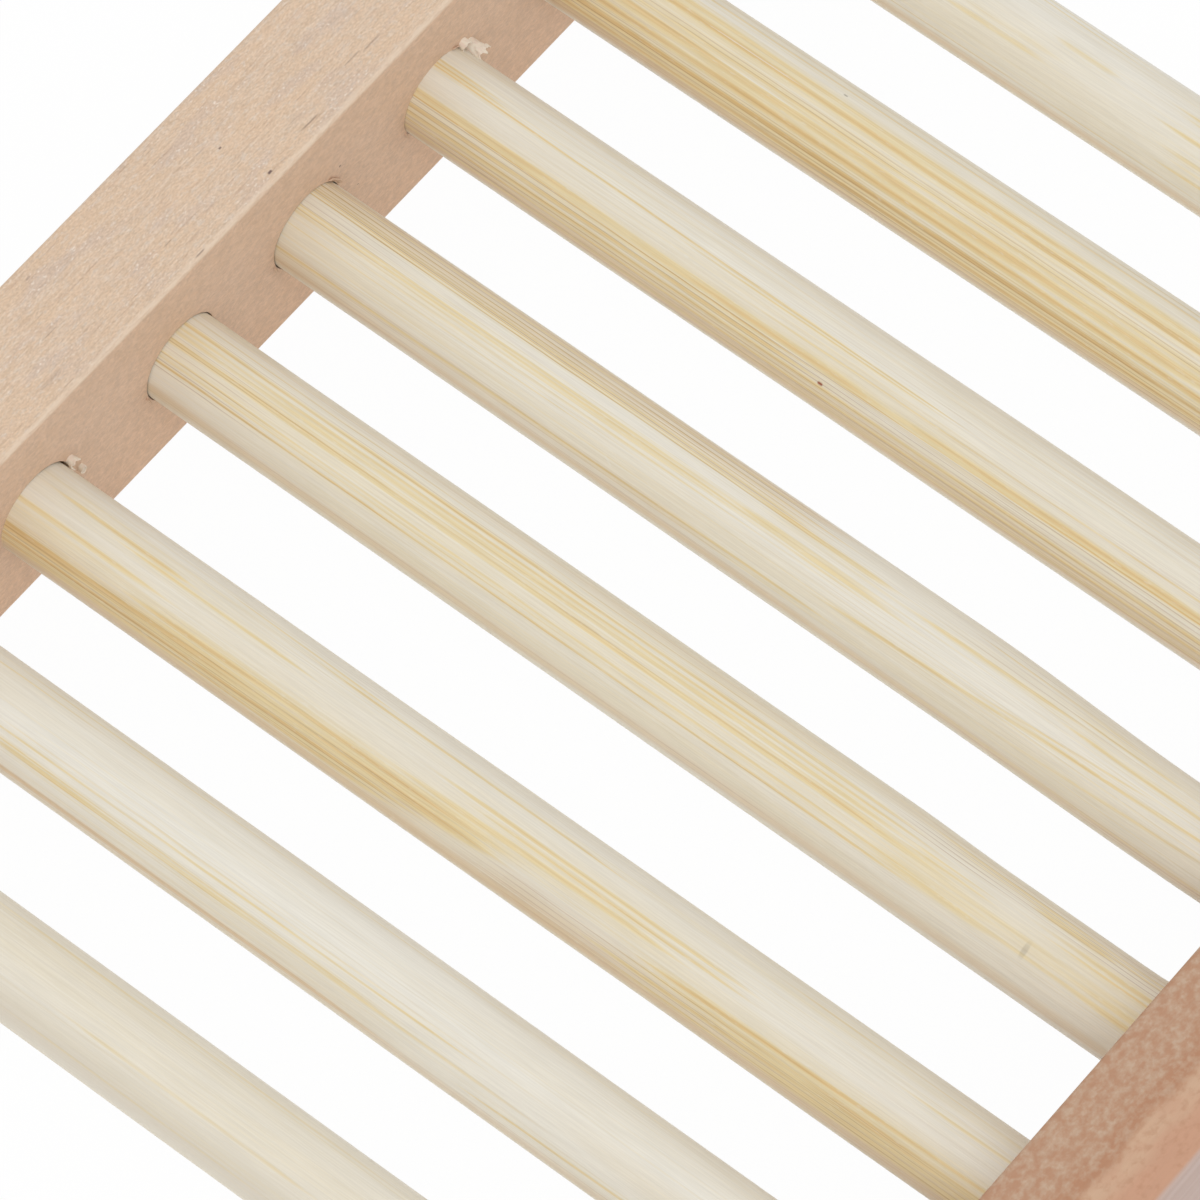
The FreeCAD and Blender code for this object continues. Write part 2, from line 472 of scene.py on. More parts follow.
        Line(0.45, 0.44, 1.8, -12, 0.12, 0.52),
        Line(0.65, 0.63, 1.2, -12, 0.11, 0.50),
        Line(0.72, 0.71, 0.2, -12, 0.07, 0.35),
        Line(0.80, 0.79, 0.8, -12, 0.09, 0.50),
        Line(0.905, 0.90, 26, -8, 0.04, 0.45),
    ), (
        Line(0.97, 0.97, REAR, FRONT, 0.40, 0.75),
    ), (), hairlines((0.905, 0.94, 0.965), REAR, FRONT, 0.20)),
}


LINE_TAPER = 0.3  # share of a line's length over which each of its ends fades, up to the longest taper
LONGEST_TAPER = 7.0
TIP_WIDTH = 0.4  # a line's width at its tips, as a share of its full width
LINE_EDGE = 1.9  # where a line ends sideways, in half widths
LINE_HAZE = 0.22
HAZE_REACH = 4.5  # where the haze round a line ends, in line widths
SIDE_EDGE = 2.0
SEED_STEP = (3.7, 11.3, 5.9)  # sets the grain of one rod apart from the next one's
DRIFT = 0.05  # how far a rod's lines wander round it, slowly and quickly, in radians
WAVER = 0.024


def turn_at(across):
    """The angle round a rod, from the middle of its marked side, of a place across that side."""
    return math.asin(1 - 2 * across)


def make_line_group():
    """Nodes for one fibre line: strongest along its core, thinner towards its tips, with a faint haze."""
    tree = bpy.data.node_groups.new("fibre_line", "ShaderNodeTree")
    names = ("Around", "Along", "Middle", "Lean", "Width", "Haze", "Start", "End", "Taper", "Depth")
    for name in names:
        tree.interface.new_socket(name=name, in_out="INPUT", socket_type="NodeSocketFloat")
    tree.interface.new_socket(name="Line", in_out="OUTPUT", socket_type="NodeSocketFloat")
    given = tree.nodes.new("NodeGroupInput").outputs
    result = tree.nodes.new("NodeGroupOutput").inputs[0]

    def link(value, socket):
        if isinstance(value, bpy.types.NodeSocket):
            tree.links.new(value, socket)
        else:
            socket.default_value = value

    def maths(operation, first, second=0.0, third=0.0):
        node = tree.nodes.new("ShaderNodeMath")
        node.operation = operation
        for value, socket in zip((first, second, third), node.inputs):
            link(value, socket)
        return node.outputs[0]

    def fade(value, low, high, at_low, at_high):
        node = tree.nodes.new("ShaderNodeMapRange")
        node.interpolation_type = "SMOOTHSTEP"
        entries = {"Value": value, "From Min": low, "From Max": high, "To Min": at_low, "To Max": at_high}
        for name, entry in entries.items():
            link(entry, node.inputs[name])
        return node.outputs[0]

    full_start = maths("SUBTRACT", given["Start"], given["Taper"])
    full_end = maths("ADD", given["End"], given["Taper"])
    opening = fade(given["Along"], full_start, given["Start"], 1.0, 0.0)
    closing = fade(given["Along"], given["End"], full_end, 0.0, 1.0)
    present = maths("MULTIPLY", opening, closing)
    middle = maths("MULTIPLY_ADD", given["Along"], given["Lean"], given["Middle"])
    distance = maths("ABSOLUTE", maths("SUBTRACT", given["Around"], middle))
    fullness = maths("MULTIPLY_ADD", present, 1 - TIP_WIDTH, TIP_WIDTH)
    width = maths("MULTIPLY", given["Width"], fullness)
    share = maths("DIVIDE", distance, width)
    body = fade(share, 0.0, 1.0, 1.0, 0.0)
    haze = maths("MULTIPLY", fade(share, 0.0, HAZE_REACH, 1.0, 0.0), given["Haze"])
    strength = maths("MULTIPLY", present, given["Depth"])
    link(maths("MULTIPLY", maths("ADD", body, haze), strength), result)
    return tree




def draw_line(paint, group, around, along, line, radius, edge=LINE_EDGE, haze=LINE_HAZE):
    """One fibre line on a rod, as strong as the line says."""
    first, last = turn_at(line.across), turn_at(line.end_across)
    lean = (last - first) / (line.end - line.start)
    values = {
        "Around": around,
        "Along": along,
        "Middle": first - lean * line.start,
        "Lean": lean,
        "Width": edge * line.width / radius,
        "Haze": haze,
        "Start": line.start,
        "End": line.end,
        "Taper": min(LINE_TAPER * (line.start - line.end), LONGEST_TAPER),
        "Depth": line.depth,
    }
    return paint.add("ShaderNodeGroup", values, node_tree=group).outputs[0]


def add_up(paint, values):
    total = values[0]
    for value in values[1:]:
        total = paint.maths("ADD", total, value)
    return total


def bamboo(number, centre, group):
    """Bare bamboo: ivory pith, ochre fibre lines along the rod, brown hairlines on its dense sides."""
    stick = STICKS[number]
    radius = stick.diameter / 2
    paint = Finish(f"bamboo_{number}")
    place = paint.place(centre, FACE_TURN)
    seed = tuple(number * step for step in SEED_STEP)
    across, along, facing = paint.split(place)
    drift = paint.maths("SUBTRACT", paint.grain(place, (0.15, 0.06, 0.15), seed, detail=1.0), 0.5)
    waver = paint.maths("SUBTRACT", paint.grain(place, (0.6, 0.22, 0.6), seed, detail=1.0), 0.5)
    around = paint.maths("MULTIPLY_ADD", drift, DRIFT, paint.maths("ARCTAN2", across, facing))
    around = paint.maths("MULTIPLY_ADD", waver, WAVER, around)

    lines = add_up(paint, [draw_line(paint, group, around, along, line, radius) for line in stick.lines])
    sides = add_up(paint, [
        draw_line(paint, group, around, along, line, radius, SIDE_EDGE, 0.0) for line in stick.sides])

    # Fibres that run the whole length, and finer ones that come and go
    fibres = paint.grain(place, (4.6, 0.012, 4.6), seed, detail=2.0)
    contour = paint.maths("ABSOLUTE", paint.maths("SUBTRACT", fibres, 0.5))
    hairs = paint.fade(contour, 0.0, 0.04, 1.0, 0.0)
    crowd = paint.fade(paint.grain(place, (0.5, 0.03, 0.5), seed, detail=1.0), 0.45, 0.70)
    strands = paint.grain(place, (6.0, 0.015, 6.0), seed[::-1], detail=3.0, roughness=0.6)
    threads = paint.grain(place, (11.0, 0.30, 11.0), seed, detail=2.0)
    flecks = paint.grain(place, (8.0, 1.3, 8.0), seed, detail=2.0)
    shade = paint.grain(place, (0.35, 0.035, 0.35), seed, detail=2.0)
    patches = paint.grain(place, (1.5, 0.10, 1.5), seed[::-1], detail=2.0)

    # Ground colour
    ground = paint.mix(paint.fade(shade, 0.36, 0.62, 0.0, stick.chalk), IVORY, CHALK)
    straw = paint.grain(place, (0.7, 0.015, 0.7), seed[::-1], detail=2.0)
    ground = paint.mix(paint.fade(straw, 0.38, 0.66, 0.0, stick.yellow), ground, STRAW)
    ground = paint.mix(paint.maths("MULTIPLY", sides, 0.95, clamp=True), ground, DENSE)
    ground = paint.mix(paint.fade(strands, 0.54, 0.72, 0.0, 0.55), ground, CHALK)
    ground = paint.mix(paint.fade(strands, 0.46, 0.28, 0.0, 0.30 + 0.35 * stick.hairs), ground, STRAW)

    # The rod's own lines, yellow at their edges and ochre to amber in their cores
    lines = paint.maths("MULTIPLY", lines, paint.fade(patches, 0.28, 0.64, 0.62, 1.15))
    lines = paint.maths("MULTIPLY", lines, paint.fade(strands, 0.28, 0.70, 1.25, 0.65))
    ground = paint.mix(paint.fade(lines, 0.0, 0.60), ground, YELLOW)
    ground = paint.mix(paint.fade(lines, 0.50, 1.20, 0.0, 0.75), ground, OCHRE)
    ground = paint.mix(paint.fade(lines, 1.1, 1.8, 0.0, 0.6), ground, AMBER)

    # Hairlines, and the fine texture of cut fibres
    hair_share = paint.maths("MULTIPLY_ADD", sides, 0.26 * stick.hairs, 0.03 * stick.hairs)
    hair_share = paint.maths("MULTIPLY_ADD", crowd, 0.10 * stick.hairs, hair_share)
    hair_share = paint.maths("MULTIPLY_ADD", lines, 0.10, hair_share)
    hair_share = paint.maths("MULTIPLY", hair_share, hairs, clamp=True)
    ground = paint.mix(hair_share, ground, FIBRE_BROWN)
    ground = paint.mix(paint.fade(flecks, 0.58, 0.78, 0.0, 0.35), ground, CHALK)
    ground = paint.mix(1.0, ground, paint.fade(threads, 0.22, 0.78, 0.945, 1.04), "MULTIPLY")
    wear = paint.fade(patches, 0.30, 0.62, 0.35, 1.0)
    for line in stick.browns:
        share = draw_line(paint, group, around, along, line, radius, haze=0.0)
        ground = paint.mix(paint.maths("MULTIPLY", share, wear), ground, FIBRE_BROWN)
    # Small marks in their own colours; among them painted highlights (glints) and painted shade
    for line, colour in stick.marks:
        ground = paint.mix(draw_line(paint, group, around, along, line, radius, haze=0.0), ground, colour)

    roughness = paint.fade(flecks, 0.3, 0.7, 0.44, 0.58)
    height = paint.maths("MULTIPLY_ADD", hairs, -0.3, paint.maths("ADD", flecks, threads))
    normal = paint.relief(height, 0.02 * MM)
    return paint.finish(ground, roughness, normal, 0.35)


def ease(value, start, end):
    """A smooth step from 0 at the start to 1 at the end."""
    share = min(max((value - start) / (end - start), 0.0), 1.0)
    return share * share * (3 - 2 * share)


def thin_out(rod, slim):
    """Thin a rod before the front rail, and let that stretch lean."""

    def thinned(point):
        along = point.y / MM
        return ease(along, slim.start, slim.thin) * (1 - ease(along, slim.back, slim.full))

    group = weigh(rod, "slim_stretch", thinned)
    displace(rod, -slim.loss * MM, group=group)
    displace(rod, -slim.lean * MM, direction="X", group=group)
    rod.vertex_groups.clear()


def shape_rod(number):
    """A rod turned from a bamboo stick, a little uneven along its length."""
    low, high = (Vector(corner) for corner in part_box(f"rod_{number}"))
    centre = (low + high) / 2
    length = high.y - low.y
    put_down()
    bpy.ops.mesh.primitive_cylinder_add(
        vertices=ROD_SIDES, radius=STICKS[number].diameter / 2 * MM, depth=length, end_fill_type="NGON",
        location=centre, rotation=(QUARTER_TURN, 0, 0))
    rod = name_piece(f"rod_{number}_bamboo")
    bpy.ops.object.mode_set(mode="EDIT")
    pick_edges(rod, lambda one, other: abs(one.y - other.y) > length / 2)
    bpy.ops.mesh.subdivide(number_cuts=ROD_CUTS)
    pick_edges(rod, lambda one, other: abs(one.y + other.y) > length - HAIRSBREADTH)
    bpy.ops.mesh.bevel(offset=ROD_END_CHAMFER, segments=CHAMFER_STEPS)
    bpy.ops.object.mode_set(mode="OBJECT")
    if number in SKEW:
        turn = Matrix.Rotation(math.radians(SKEW[number]), 4, "Z")
        rod.matrix_world = Matrix.Translation(centre) @ turn @ Matrix.Translation(-centre)
        bpy.ops.object.transform_apply(location=True, rotation=True, scale=True)
    ripple(rod, ROD_PATCH, ROD_WAVE)
    if number in SLIM_RODS:
        thin_out(rod, SLIM_RODS[number])
    soften(rod)
    return rod, centre


def make_rods():
    group = make_line_group()
    for number in ROD_NUMBERS:
        rod, centre = shape_rod(number)
        rod.data.materials.append(bamboo(number, centre, group))
        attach(rod, "root")
        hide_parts(f"rod_{number}")


# Hardwood rails

ARRIS = 0.35 * MM
ARRIS_STEPS = 4
END_CHAMFER = 0.25 * MM
LENGTH_CUTS = 107
WIDTH_CUTS = 7
HEIGHT_CUTS = 15
SOCKET_SIDES = 160
SOCKET_RADIUS = 3.02 * MM
SOCKET_DEPTH = 5.0 * MM
SOCKET_REACH = 2.0 * MM
MOUTH_DEPTH = 0.25 * MM
MOUTH_CUTS = (-1.0, 0.0, 0.25, 0.5, 1.0)  # where the cutter is cut round the mouth, in mouth depths
TORN_SHARE = 0.6  # of the mouth's depth
TEAR_DEPTH = 0.06 * MM
TEAR_PATCH = (0.5 * MM, 0.5 * MM, 0.5 * MM)
SPUR_RADIUS = 0.6 * MM
SPUR_DEPTH = 0.7 * MM


def make_cutter(number, inner_y, outward):
    """What a drill takes out of a rail for one rod, with a dimpled floor and a torn mouth."""
    low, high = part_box(f"rod_{number}")
    centre_x = (low[0] + high[0]) / 2
    centre_z = (low[2] + high[2]) / 2
    floor_y = inner_y + outward * SOCKET_DEPTH
    start_y = inner_y - outward * SOCKET_REACH
    put_down()
    bpy.ops.mesh.primitive_cylinder_add(
        vertices=SOCKET_SIDES, radius=SOCKET_RADIUS, depth=abs(floor_y - start_y), end_fill_type="NGON",
        location=(centre_x, (floor_y + start_y) / 2, centre_z), rotation=(QUARTER_TURN, 0, 0))
    cutter = name_piece(f"socket_cutter_{number}")
    bpy.ops.object.mode_set(mode="EDIT")
    for share in MOUTH_CUTS:
        bpy.ops.mesh.select_all(action="SELECT")
        plane = (0, inner_y + outward * share * MOUTH_DEPTH, 0)
        bpy.ops.mesh.bisect(plane_co=plane, plane_no=(0, 1, 0))
    pick_faces(cutter, lambda middle, normal: abs(middle.y - floor_y) < HAIRSBREADTH)
    bpy.ops.mesh.inset(thickness=SOCKET_RADIUS - SPUR_RADIUS)
    bpy.ops.mesh.extrude_region_move(TRANSFORM_OT_translate={"value": (0, outward * SPUR_DEPTH, 0)})
    bpy.ops.mesh.merge(type="COLLAPSE")
    bpy.ops.mesh.select_all(action="SELECT")
    bpy.ops.mesh.normals_make_consistent(inside=False)
    bpy.ops.object.mode_set(mode="OBJECT")
    return cutter


def drill(rail, inner_y, outward):
    """Sockets for the rods in a rail's inner face."""
    cutters = [make_cutter(number, inner_y, outward) for number in ROD_NUMBERS]
    put_down()
    for cutter in cutters:
        cutter.select_set(True)
    bpy.context.view_layer.objects.active = cutters[0]
    bpy.ops.object.join()
    cutter = cutters[0]
    torn = TORN_SHARE * MOUTH_DEPTH
    mouth = weigh(cutter, "mouth", lambda point: 1.0 if abs(point.y - inner_y) < torn else 0.0)
    ripple(cutter, TEAR_PATCH, TEAR_DEPTH, group=mouth, octaves=2)
    take_up(rail)
    bpy.ops.object.modifier_add(type="BOOLEAN")
    cut = rail.modifiers[-1]
    cut.operation = "DIFFERENCE"
    cut.solver = "EXACT"
    cut.object = cutter
    bpy.ops.object.modifier_apply(modifier=cut.name)
    bpy.data.objects.remove(cutter)


def shape_rail(node, name):
    """A planed bar with sanded arrises and a row of sockets in its inner face."""
    low, high = (Vector(corner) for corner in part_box(node))
    size = high - low
    outward = 1 if low.y > 0 else -1
    inner_y = low.y if outward > 0 else high.y
    put_down()
    bpy.ops.mesh.primitive_cube_add(size=1.0, location=(low + high) / 2, scale=size)
    rail = name_piece(name)
    bpy.ops.object.mode_set(mode="EDIT")
    pick_edges(rail, lambda one, other: abs(one.x - other.x) > size.x / 2)
    bpy.ops.mesh.bevel(offset=ARRIS, segments=ARRIS_STEPS)
    pick_edges(rail, lambda one, other: abs(one.x + other.x) > size.x - HAIRSBREADTH)
    bpy.ops.mesh.bevel(offset=END_CHAMFER, segments=CHAMFER_STEPS)
    pick_edges(rail, lambda one, other: abs(one.x - other.x) > size.x / 2)
    bpy.ops.mesh.subdivide(number_cuts=LENGTH_CUTS)
    pick_edges(rail, lambda one, other: abs(one.y - other.y) > size.y / 2)
    bpy.ops.mesh.subdivide(number_cuts=WIDTH_CUTS)
    pick_edges(rail, lambda one, other: abs(one.z - other.z) > size.z / 2)
    bpy.ops.mesh.subdivide(number_cuts=HEIGHT_CUTS)
    bpy.ops.object.mode_set(mode="OBJECT")
    drill(rail, inner_y, outward)
    soften(rail)
    return rail


ROSE_BEIGE = tone(225, 202, 180)
ROSE_TAN = tone(208, 182, 156)
APRICOT = tone(222, 192, 162)
PALE_FIBRE = tone(234, 219, 204)
DARK_FIBRE = tone(182, 152, 130)
PORE_GREY = tone(118, 98, 92)
SMOKE = tone(200, 181, 170)
BLUSH = tone(219, 190, 163)
HAZE_GREY = tone(218, 201, 185)
FACE_ROSE = tone(214, 180, 150)
# painted highlight along the rear rail's inner top arris
ARRIS_HIGHLIGHT = tone(232, 212, 190)
INNER_TAN = tone(217, 187, 163)
# painted light for the foot of the rear rail's inner face
PAINTED_LIGHT_TAN = tone(223, 191, 166)
PALE_CLAY = tone(198, 172, 149)
CLAY = tone(189, 155, 129)
RUSSET = tone(180, 134, 105)
PALE_SALMON = tone(204, 169, 141)
SALMON = tone(199, 154, 127)
LILAC_GREY = tone(194, 171, 160)
PALE_LILAC = tone(200, 179, 170)
TORN_CREAM = tone(240, 232, 216)
TORN_TAN = tone(222, 196, 172)

# A dark pore of the rear rail: its place along the rail, and across it or up it, in millimetres, half its
# length along the rail, half its width, and how dark it is.
Pore = namedtuple("Pore", "along across length width depth")
TOP_PORES = (
    Pore(3.55, 36.41, 0.22, 0.13, 1.0),
    Pore(3.01, 39.72, 0.14, 0.10, 0.85),
    Pore(7.63, 36.80, 0.95, 0.08, 0.50),
    Pore(12.57, 37.72, 0.80, 0.07, 0.40),
    Pore(14.15, 37.52, 0.90, 0.09, 0.35),
    Pore(-10.66, 42.63, 0.25, 0.10, 0.40),
    Pore(-3.83, 37.89, 0.50, 0.06, 0.35),
    Pore(-12.69, 39.24, 0.80, 0.05, 0.35),
    Pore(-3.20, 36.02, 0.50, 0.07, 0.55),
    Pore(-15.09, 37.20, 1.20, 0.25, 0.18),
)
FACE_PORES = (
    Pore(8.93, 10.50, 0.11, 0.11, 0.9),
    Pore(10.44, 6.72, 0.09, 0.09, 0.6),
)


def draw_pore(paint, along, across, pore):
    """One pore on a face of a rail, as dark as the pore says."""
    run = paint.maths("ABSOLUTE", paint.maths("SUBTRACT", along, pore.along))
    side = paint.maths("ABSOLUTE", paint.maths("SUBTRACT", across, pore.across))
    length = paint.fade(run, 0.4 * pore.length, pore.length, pore.depth, 0.0)
    return paint.maths("MULTIPLY", length, paint.fade(side, 0.2 * pore.width, pore.width, 1.0, 0.0))


def rear_wood(low, high):
    """Pinkish beige hardwood with short fuzzy fibres, pale specks and a few dark pores along the rail."""
    paint = Finish("rear_rail_wood")
    place = paint.place()
    along, across, up = paint.split(place)
    face_y, top_z = low[1] / MM, high[2] / MM
    fibres = paint.grain(place, (0.9, 6.0, 6.0), detail=3.0, roughness=0.7)
    fuzz = paint.grain(place, (4.5, 10.0, 10.0), (3, 5, 7), detail=2.0, distortion=0.3)
    bands = paint.grain(place, (0.03, 0.45, 0.45), (8, 2, 4), detail=2.0, distortion=0.5)
    tint = paint.grain(place, (0.12, 0.5, 0.5), (5, 1, 8), detail=2.0)
    smoke = paint.grain(place, (0.25, 0.9, 0.9), (6, 6, 1), detail=2.0)
    specks = paint.grain(place, (4.5, 7.0, 7.0), (1, 9, 2), detail=1.0)
    strokes = paint.grain(place, (0.45, 7.5, 7.5), (9, 3, 3), detail=1.0)
    clouds = paint.grain(place, (2.0, 3.2, 3.2), (2, 2, 7), detail=3.0, roughness=0.75)
    blush = paint.grain(place, (1.6, 3.6, 3.6), (4, 7, 5), detail=2.0, roughness=0.6)

    ground = paint.mix(paint.fade(fibres, 0.30, 0.70), ROSE_TAN, ROSE_BEIGE)
    ground = paint.mix(paint.fade(tint, 0.40, 0.66, 0.0, 0.5), ground, APRICOT)
    ground = paint.mix(paint.fade(bands, 0.45, 0.68, 0.0, 0.35), ground, ROSE_TAN)
    ground = paint.mix(paint.fade(blush, 0.46, 0.66, 0.0, 0.6), ground, BLUSH)
    ground = paint.mix(paint.fade(blush, 0.46, 0.30, 0.0, 0.6), ground, HAZE_GREY)
    cloudy = paint.fade(smoke, 0.50, 0.70)
    ground = paint.mix(paint.maths("MULTIPLY", cloudy, 0.35), ground, SMOKE)
    ground = paint.mix(paint.fade(strokes, 0.60, 0.78, 0.0, 0.42), ground, DARK_FIBRE)
    pale = paint.maths("MULTIPLY_ADD", cloudy, 0.60, 0.30)
    ground = paint.mix(paint.maths("MULTIPLY", paint.fade(specks, 0.58, 0.76), pale), ground, PALE_FIBRE)
    ground = paint.mix(1.0, ground, paint.fade(fuzz, 0.25, 0.75, 0.89, 1.10), "MULTIPLY")

    # The face that the rods enter is smoother and warmer, and painted paler towards its foot: painted light
    # against the shade that falls low between the rods.
    face = paint.mix(paint.fade(up, 1.0, 9.0), PAINTED_LIGHT_TAN, INNER_TAN)
    face = paint.mix(1.0, face, paint.fade(clouds, 0.30, 0.70, 0.89, 1.10), "MULTIPLY")
    face = paint.mix(1.0, face, paint.fade(fuzz, 0.25, 0.75, 0.94, 1.055), "MULTIPLY")
    face = paint.mix(paint.fade(blush, 0.46, 0.66, 0.0, 0.35), face, FACE_ROSE)
    inner = paint.fade(across, face_y + 0.06, face_y + 0.30, 1.0, 0.0)
    ground = paint.mix(paint.maths("MULTIPLY", inner, 0.85), ground, face)
    # Painted highlight: a pale line along the inner top arris, broken up by the fibres.
    near_face = paint.fade(across, face_y + 0.05, face_y + 0.45, 1.0, 0.0)
    near_top = paint.fade(up, top_z - 0.45, top_z - 0.10)
    arris = paint.maths("MULTIPLY", near_face, near_top)
    painted_highlight = paint.maths("MULTIPLY", arris, paint.fade(fibres, 0.3, 0.6, 0.35, 0.9))
    ground = paint.mix(painted_highlight, ground, ARRIS_HIGHLIGHT)

    on_top = paint.fade(up, top_z - 0.3, top_z - 0.1)
    pores = add_up(paint, [draw_pore(paint, along, across, pore) for pore in TOP_PORES])
    ground = paint.mix(paint.maths("MULTIPLY", pores, on_top, clamp=True), ground, PORE_GREY)
    pores = add_up(paint, [draw_pore(paint, along, up, pore) for pore in FACE_PORES])
    ground = paint.mix(paint.maths("MULTIPLY", pores, inner, clamp=True), ground, PORE_GREY)

    roughness = paint.fade(fibres, 0.3, 0.7, 0.62, 0.74)
    normal = paint.relief(paint.maths("ADD", fibres, fuzz), 0.03 * MM)
    return paint.finish(ground, roughness, normal, 0.25)


def front_wood(low):
    """Redder hardwood: a mottled russet layer by the rods, and a smoother salmon one outside."""
    paint = Finish("front_rail_wood")
    place = paint.place()
    across = paint.split(place)[1]
    outer_y = low[1] / MM
    curls = paint.grain(place, (1.6, 2.1, 2.1), (7, 3, 1), detail=2.5, distortion=0.1, roughness=0.6)
    crumbs = paint.grain(place, (4.0, 4.5, 4.5), (2, 4, 6), detail=2.0)
    wave = paint.grain(place, (0.16, 0.1, 0.1), (4, 4, 9), detail=2.0)
    clouds = paint.grain(place, (0.5, 0.9, 0.9), (6, 2, 3), detail=2.0)
    fibres = paint.grain(place, (0.5, 5.0, 5.0), (1, 6, 2), detail=2.0)

    edge = paint.maths("MULTIPLY_ADD", paint.maths("SUBTRACT", wave, 0.5), 2.4, across)
    mottled = paint.fade(edge, outer_y + 3.0, outer_y + 3.8)
    border = paint.fade(edge, outer_y + 3.6, outer_y + 5.2, 0.35, 0.0)
    layer = paint.mix(paint.fade(crumbs, 0.28, 0.72, 0.1, 0.8), CLAY, PALE_CLAY)
    spots = paint.maths("ADD", paint.fade(curls, 0.30, 0.68, 0.0, 0.80), border, clamp=True)
    layer = paint.mix(spots, layer, RUSSET)
    outside = paint.mix(paint.fade(edge, outer_y + 1.4, outer_y + 2.8), SALMON, PALE_SALMON)
    outside = paint.mix(paint.fade(clouds, 0.42, 0.70, 0.0, 0.5), outside, SALMON)
    outside = paint.mix(paint.fade(curls, 0.46, 0.72, 0.0, 0.45), outside, RUSSET)
    ground = paint.mix(mottled, outside, layer)
    ground = paint.mix(1.0, ground, paint.fade(fibres, 0.25, 0.75, 0.975, 1.02), "MULTIPLY")
    face = paint.fade(across, outer_y + 0.05, outer_y + 0.35, 1.0, 0.0)
    streaks = paint.grain(place, (0.12, 1.6, 1.6), (3, 8, 5), detail=3.0)
    planed = paint.mix(paint.fade(streaks, 0.36, 0.64), LILAC_GREY, PALE_LILAC)
    planed = paint.mix(1.0, planed, paint.fade(fibres, 0.25, 0.75, 0.98, 1.02), "MULTIPLY")
    ground = paint.mix(face, ground, planed)

    roughness = paint.fade(fibres, 0.3, 0.7, 0.62, 0.74)
    normal = paint.relief(paint.maths("ADD", fibres, crumbs), 0.02 * MM)
    return paint.finish(ground, roughness, normal, 0.25)


def torn_wood(name, dark, pale):
    """Torn fibres: paler than the planed faces, and uneven."""
    paint = Finish(name)
    place = paint.place()
    fibres = paint.grain(place, (5.0, 2.0, 5.0), detail=2.0)
    ground = paint.mix(paint.fade(fibres, 0.35, 0.65), dark, pale)
    roughness = paint.fade(fibres, 0.3, 0.7, 0.7, 0.8)
    return paint.finish(ground, roughness, paint.relief(fibres, 0.03 * MM), 0.2)


# A shred of wood that drilling left standing at a socket's mouth: the rod that it is beside, how far from
# the rod's axis and at which turn its own axis lies, the radius that it curls to, where the curl starts and
# ends, how far it stands off the rail, how far it flares outwards, and its finish. Millimetres, and degrees
# from +X towards +Z.
Shred = namedtuple("Shred", "rod off turn radius first last reach flare finish")
MOUTH = 3.08  # the radius of a burr that follows a socket's mouth
CREAM_SHRED, TAN_SHRED = 1, 2  # the torn finishes, by their places among the rear rail's materials
REAR_SHREDS = (
    Shred(6, 3.30, 28, 0.45, 30, 190, 1.35, 0.10, CREAM_SHRED),
    Shred(6, 3.35, 44, 0.30, 40, 200, 0.45, 0.05, CREAM_SHRED),
    Shred(6, 0, 0, MOUTH, 40, 62, 0.16, 0.12, TAN_SHRED),
    Shred(6, 0, 0, MOUTH, 198, 206, 0.20, 0.14, TAN_SHRED),
    Shred(5, 0, 0, MOUTH, 20, 48, 0.22, 0.22, TAN_SHRED),
    Shred(5, 0, 0, MOUTH, 195, 205, 0.20, 0.14, TAN_SHRED),
    Shred(4, 0, 0, MOUTH, 192, 205, 0.18, 0.14, TAN_SHRED),
    Shred(3, 3.30, 22, 0.25, 20, 230, 0.55, 0.10, CREAM_SHRED),
    Shred(3, 3.95, -10, 0.20, 60, 330, 0.30, 0.05, CREAM_SHRED),
    Shred(7, 0, 0, MOUTH, 197, 206, 0.20, 0.14, TAN_SHRED),
)
SHRED_ROWS = 9
SHRED_STEP = 0.04 * MM  # along its curl, between points
SHRED_ROOT = 0.3 * MM  # how deep it sits in the rail
SHRED_BEND = 1.5  # how late it starts to flare, as a power of its height
SHRED_THICKNESS = 0.06 * MM
SHRED_CRUMPLE = 0.3  # of how far it stands off the rail
SHRED_PATCH = (0.45 * MM, 0.45 * MM, 0.45 * MM)


